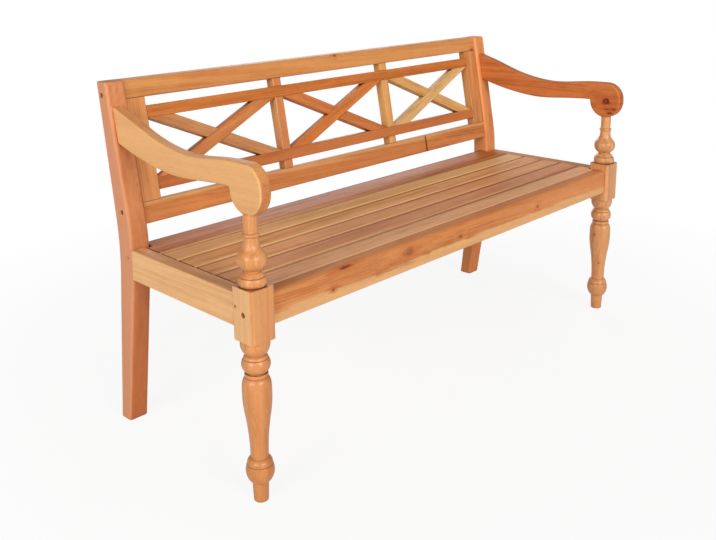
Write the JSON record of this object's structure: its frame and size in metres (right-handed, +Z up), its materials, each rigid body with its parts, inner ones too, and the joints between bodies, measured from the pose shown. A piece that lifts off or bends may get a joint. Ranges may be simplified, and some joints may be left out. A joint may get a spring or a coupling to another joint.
{
  "type": "dining bench",
  "caption": "Wooden dining bench: slatted seat, raked back with crossed diagonals between uprights, scroll armrests, turned front legs and swept rear legs, bolted and tenoned.",
  "frame": {"origin": "on the floor under the middle of the bench's overall box", "axes": "+Z up, +X along the bench to the sitter's left, -Y towards the front"},
  "size_m": [1.5, 0.5798, 0.86],
  "materials": {
    "leg_wood": "satin, finely sanded hardwood",
    "turned_wood": "satin, finely sanded hardwood",
    "arm_wood": "satin, finely sanded hardwood",
    "side_rail_wood": "satin, finely sanded hardwood",
    "front_rail_wood": "satin, finely sanded hardwood",
    "support_wood": "satin, finely sanded hardwood",
    "slat_wood": "satin, finely sanded hardwood",
    "crest_wood": "satin, finely sanded hardwood",
    "lower_rail_wood": "satin, finely sanded hardwood",
    "stile_wood": "satin, finely sanded hardwood",
    "lattice_wood": "satin, finely sanded hardwood",
    "peg_wood": "satin, finely sanded hardwood",
    "fastener_steel": "zinc plated"
  },
  "bodies": {
    "root": {"armrest_left": "arm_wood", "armrest_right": "arm_wood", "back_post_left": "lattice_wood", "back_post_right": "lattice_wood", "barrel_nuts": "fastener_steel", "crest_rail": "crest_wood", "diagonal_left_falling": "lattice_wood", "diagonal_left_rising": "lattice_wood", "diagonal_middle_falling": "lattice_wood", "diagonal_middle_rising": "lattice_wood", "diagonal_right_falling": "lattice_wood", "diagonal_right_rising": "lattice_wood", "frame_bolts": "fastener_steel", "front_leg_left": "turned_wood", "front_leg_right": "turned_wood", "front_rail": "front_rail_wood", "inner_stile_left": "stile_wood", "inner_stile_right": "stile_wood", "locating_dowels": "peg_wood", "lower_back_rail": "lower_rail_wood", "lower_lattice_rail": "lattice_wood", "rear_leg_left": "leg_wood", "rear_leg_right": "leg_wood", "rear_rail": "support_wood", "seat_bearer_1": "support_wood", "seat_bearer_2": "support_wood", "seat_bearer_3": "support_wood", "seat_cleat_left": "support_wood", "seat_cleat_right": "support_wood", "seat_slat_1": "slat_wood", "seat_slat_2": "slat_wood", "seat_slat_3": "slat_wood", "seat_slat_4": "slat_wood", "seat_slat_5": "slat_wood", "seat_slat_6": "slat_wood", "side_rail_left": "side_rail_wood", "side_rail_right": "side_rail_wood", "tenon_pegs": "peg_wood", "upper_lattice_rail": "lattice_wood", "wood_screws": "fastener_steel"}
  },
  "joints": []
}
